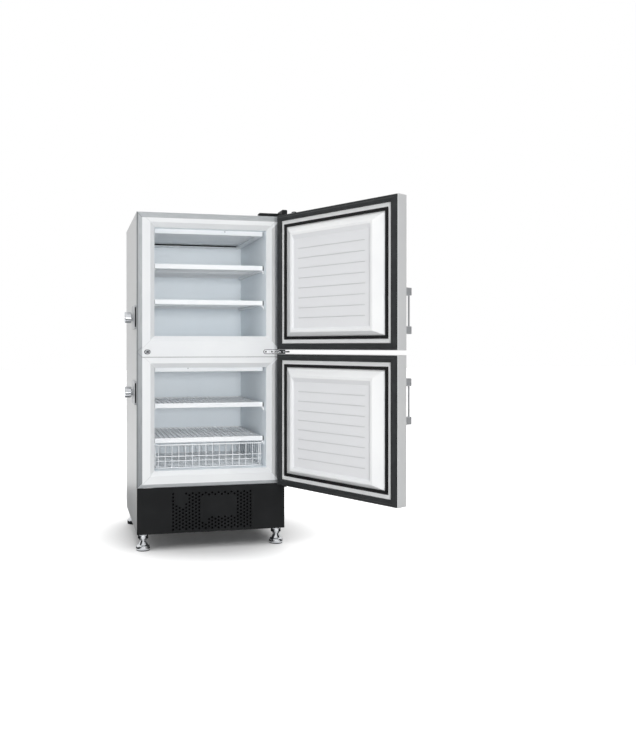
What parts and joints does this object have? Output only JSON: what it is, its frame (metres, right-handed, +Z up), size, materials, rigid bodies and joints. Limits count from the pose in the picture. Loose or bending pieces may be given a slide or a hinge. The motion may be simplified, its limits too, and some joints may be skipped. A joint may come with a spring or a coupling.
{
  "type": "ultra low temperature freezer",
  "caption": "Upright two-compartment ultra low temperature lab freezer with right-hung insulated doors, wire shelves, a basket, side latches and a perforated base panel on levelling feet.",
  "frame": {"origin": "centre of the cabinet's plan on the floor plane under the feet", "axes": "+X to the right seen from the front, +Y to the back, the doorway faces -Y, +Z up"},
  "size_m": [1.2808, 1.5113, 1.812],
  "materials": {
    "cabinet_grey": "satin grey",
    "galvanised": "zinc coated",
    "insulation": "rigid foam",
    "liner_steel": "pale blue grey",
    "flange_steel": "brushed",
    "frame_white": "smooth white",
    "chrome": "polished",
    "coated_white": "white coating",
    "base_black": "satin black",
    "machine_black": "black enamel",
    "latch_grey": "cast grey",
    "rim_rubber": "dark grey seal",
    "seal_rubber": "black seal",
    "handle_metal": "satin"
  },
  "bodies": {
    "cabinet": {"side_panel_left": "cabinet_grey", "side_panel_right": "cabinet_grey", "top_panel": "cabinet_grey", "rear_panel": "cabinet_grey", "base_pan": "galvanised", "machine_deck": "galvanised", "foam_left": "insulation", "foam_right": "insulation", "foam_back": "insulation", "foam_top": "insulation", "foam_divider": "insulation", "foam_floor": "insulation", "upper_liner": "liner_steel", "lower_liner": "liner_steel", "front_flange": "flange_steel", "upper_frame": "frame_white", "lower_frame": "frame_white", "divider_plug": "chrome", "middle_hinge": "chrome", "upper_tray": "coated_white", "lower_tray": "coated_white", "upper_rails": "coated_white", "lower_rails": "coated_white", "grille_panel": "base_black", "top_hinge": "base_black", "bottom_hinge": "base_black", "compressor_left": "machine_black", "compressor_right": "machine_black", "condenser": "machine_black", "fan_shroud": "machine_black", "fan_motor": "machine_black", "upper_latch_housing": "latch_grey", "lower_latch_housing": "latch_grey"},
    "upper_door": {"upper_door_skin": "cabinet_grey", "upper_door_core": "frame_white", "upper_door_rim": "rim_rubber", "upper_door_seal": "seal_rubber", "upper_handle": "handle_metal"},
    "lower_door": {"lower_door_skin": "cabinet_grey", "lower_door_core": "frame_white", "lower_door_rim": "rim_rubber", "lower_door_seal": "seal_rubber", "lower_handle": "handle_metal"},
    "upper_latch": {"upper_latch_knob": "chrome"},
    "lower_latch": {"lower_latch_knob": "chrome"},
    "upper_rack_a": {"upper_shelf_a": "coated_white"},
    "upper_rack_b": {"upper_shelf_b": "coated_white"},
    "lower_rack_a": {"lower_shelf_a": "coated_white"},
    "lower_rack_b": {"lower_shelf_b": "coated_white"},
    "basket": {"basket_fore": "coated_white", "basket_back": "coated_white", "basket_left": "coated_white", "basket_right": "coated_white", "basket_floor": "coated_white"},
    "fan_rotor": {"fan": "machine_black"},
    "foot_fl": {"foot_front_left": "chrome"},
    "foot_fr": {"foot_front_right": "chrome"},
    "foot_rl": {"foot_rear_left": "chrome"},
    "foot_rr": {"foot_rear_right": "chrome"}
  },
  "joints": [
    {"name": "upper_door_hinge", "type": "hinge", "parent": "cabinet", "child": "upper_door", "pos_m": [0.387, -0.423, 1.421], "axis": [0, 0, 1], "range_deg": [-118, 22]},
    {"name": "lower_door_hinge", "type": "hinge", "parent": "cabinet", "child": "lower_door", "pos_m": [0.387, -0.423, 0.6875], "axis": [0, 0, 1], "range_deg": [-118, 22]},
    {"name": "upper_latch_turn", "type": "hinge", "parent": "cabinet", "child": "upper_latch", "pos_m": [-0.42, -0.245, 1.234], "axis": [1, 0, 0], "range_deg": [0, 90]},
    {"name": "lower_latch_turn", "type": "hinge", "parent": "cabinet", "child": "lower_latch", "pos_m": [-0.42, -0.245, 0.833], "axis": [1, 0, 0], "range_deg": [0, 90]},
    {"name": "upper_rack_a_slide", "type": "slide", "parent": "cabinet", "child": "upper_rack_a", "axis": [0, -1, 0], "range_m": [0, 0.4]},
    {"name": "upper_rack_b_slide", "type": "slide", "parent": "cabinet", "child": "upper_rack_b", "axis": [0, -1, 0], "range_m": [0, 0.4]},
    {"name": "lower_rack_a_slide", "type": "slide", "parent": "cabinet", "child": "lower_rack_a", "axis": [0, -1, 0], "range_m": [0, 0.4]},
    {"name": "lower_rack_b_slide", "type": "slide", "parent": "cabinet", "child": "lower_rack_b", "axis": [0, -1, 0], "range_m": [0, 0.4]},
    {"name": "basket_slide", "type": "slide", "parent": "cabinet", "child": "basket", "axis": [0, -1, 0], "range_m": [0, 0.45]},
    {"name": "fan_spin", "type": "hinge", "parent": "cabinet", "child": "fan_rotor", "pos_m": [0, -0.295, 0.208], "axis": [0, 1, 0], "continuous": true},
    {"name": "foot_fl_turn", "type": "hinge", "parent": "cabinet", "child": "foot_fl", "pos_m": [-0.364, -0.333, 0.045], "axis": [0, 0, 1], "continuous": true},
    {"name": "foot_fr_turn", "type": "hinge", "parent": "cabinet", "child": "foot_fr", "pos_m": [0.364, -0.333, 0.045], "axis": [0, 0, 1], "continuous": true},
    {"name": "foot_rl_turn", "type": "hinge", "parent": "cabinet", "child": "foot_rl", "pos_m": [-0.364, 0.291, 0.045], "axis": [0, 0, 1], "continuous": true},
    {"name": "foot_rr_turn", "type": "hinge", "parent": "cabinet", "child": "foot_rr", "pos_m": [0.364, 0.291, 0.045], "axis": [0, 0, 1], "continuous": true}
  ]
}
